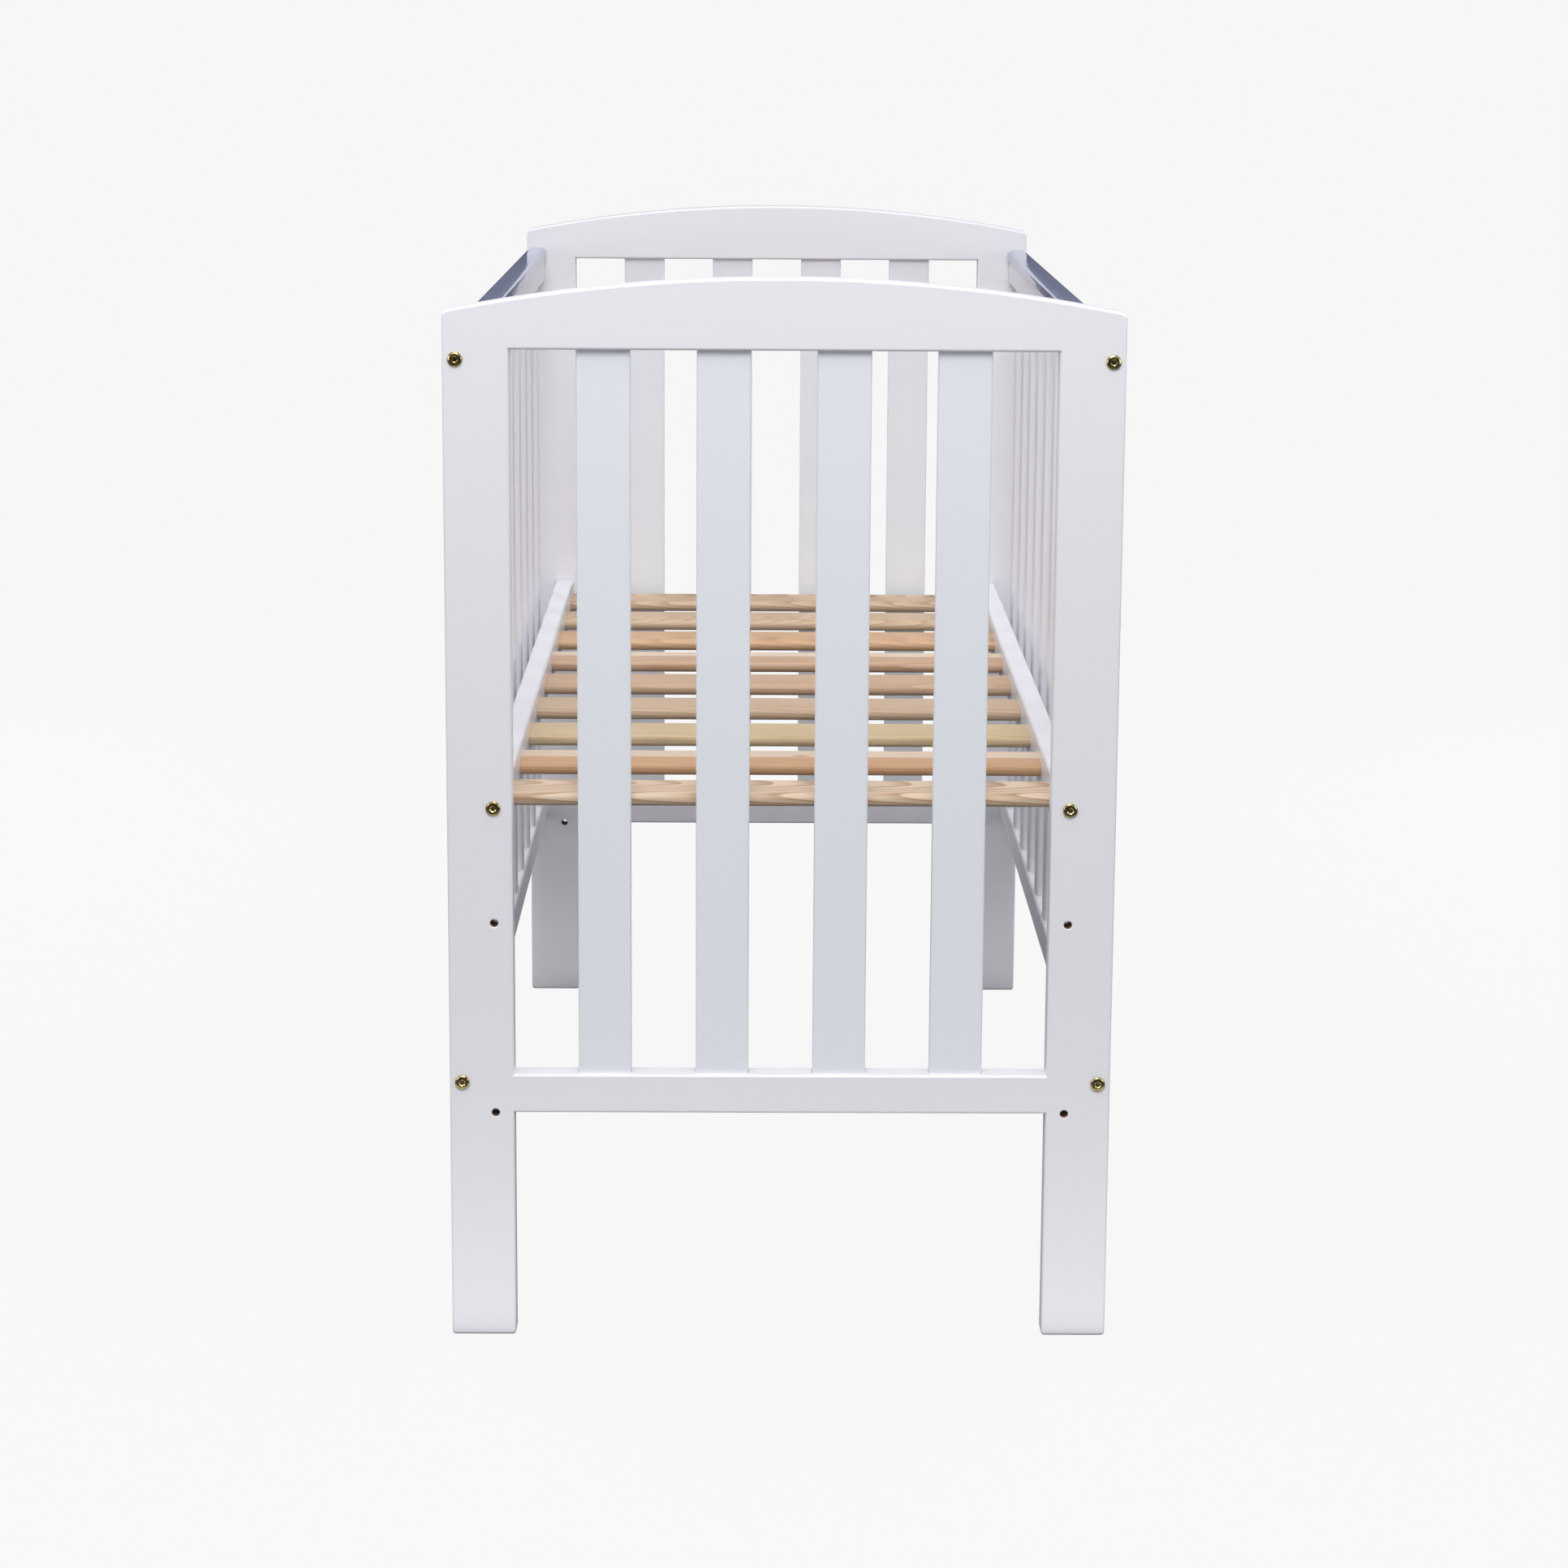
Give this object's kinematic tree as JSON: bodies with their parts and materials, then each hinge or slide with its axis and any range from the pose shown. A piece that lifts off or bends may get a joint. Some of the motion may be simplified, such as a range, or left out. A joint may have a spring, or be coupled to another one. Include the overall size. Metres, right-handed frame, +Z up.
{
  "type": "baby crib",
  "caption": "Wooden baby crib with arched slatted ends, fixed barred sides with teething caps, and a slatted pine base that bolts to the posts at a choice of heights.",
  "frame": {"origin": "on the floor under the middle of the crib", "axes": "+X across the crib to its right side, +Y along its length from the front end to the back end, +Z up"},
  "size_m": [0.564, 1.0508, 0.914],
  "materials": {
    "white_paint": "solid wood under smooth white satin paint",
    "bare_pine": "planed bare pine with visible grain",
    "teething_cap_plastic": "smooth glossy plastic, blue-grey, slightly see-through, with fine scuffs",
    "yellow_zinc_steel": "yellow zinc plating, bright and slightly iridescent"
  },
  "bodies": {
    "frame": {"front_left_post": "white_paint", "front_right_post": "white_paint", "front_top_rail": "white_paint", "front_bottom_rail": "white_paint", "front_slat_1": "white_paint", "front_slat_2": "white_paint", "front_slat_3": "white_paint", "front_slat_4": "white_paint", "back_left_post": "white_paint", "back_right_post": "white_paint", "back_top_rail": "white_paint", "back_bottom_rail": "white_paint", "back_slat_1": "white_paint", "back_slat_2": "white_paint", "back_slat_3": "white_paint", "back_slat_4": "white_paint", "left_top_rail": "white_paint", "left_bars_and_bottom_rail": "white_paint", "right_top_rail": "white_paint", "right_bars_and_bottom_rail": "white_paint", "left_teething_cap": "teething_cap_plastic", "right_teething_cap": "teething_cap_plastic", "front_left_upper_bolt": "yellow_zinc_steel", "front_left_lower_bolt": "yellow_zinc_steel", "front_right_upper_bolt": "yellow_zinc_steel", "front_right_lower_bolt": "yellow_zinc_steel", "back_left_upper_bolt": "yellow_zinc_steel", "back_left_lower_bolt": "yellow_zinc_steel", "back_right_upper_bolt": "yellow_zinc_steel", "back_right_lower_bolt": "yellow_zinc_steel", "front_left_upper_nut": "yellow_zinc_steel", "front_left_lower_nut": "yellow_zinc_steel", "front_right_upper_nut": "yellow_zinc_steel", "front_right_lower_nut": "yellow_zinc_steel", "back_left_upper_nut": "yellow_zinc_steel", "back_left_lower_nut": "yellow_zinc_steel", "back_right_upper_nut": "yellow_zinc_steel", "back_right_lower_nut": "yellow_zinc_steel"},
    "base": {"base_left_rail": "white_paint", "base_right_rail": "white_paint", "base_slat_1": "bare_pine", "base_slat_2": "bare_pine", "base_slat_3": "bare_pine", "base_slat_4": "bare_pine", "base_slat_5": "bare_pine", "base_slat_6": "bare_pine", "base_slat_7": "bare_pine", "base_slat_8": "bare_pine", "base_slat_9": "bare_pine", "front_left_base_bolt": "yellow_zinc_steel", "front_right_base_bolt": "yellow_zinc_steel", "back_left_base_bolt": "yellow_zinc_steel", "back_right_base_bolt": "yellow_zinc_steel", "front_left_base_nut": "yellow_zinc_steel", "front_right_base_nut": "yellow_zinc_steel", "back_left_base_nut": "yellow_zinc_steel", "back_right_base_nut": "yellow_zinc_steel"}
  },
  "joints": [
    {"name": "base_height", "type": "slide", "parent": "frame", "child": "base", "axis": [0, 0, 1], "range_m": [-0.267, 0], "deforming": ["front_left_base_bolt", "front_right_base_bolt", "back_left_base_bolt", "back_right_base_bolt"]}
  ]
}
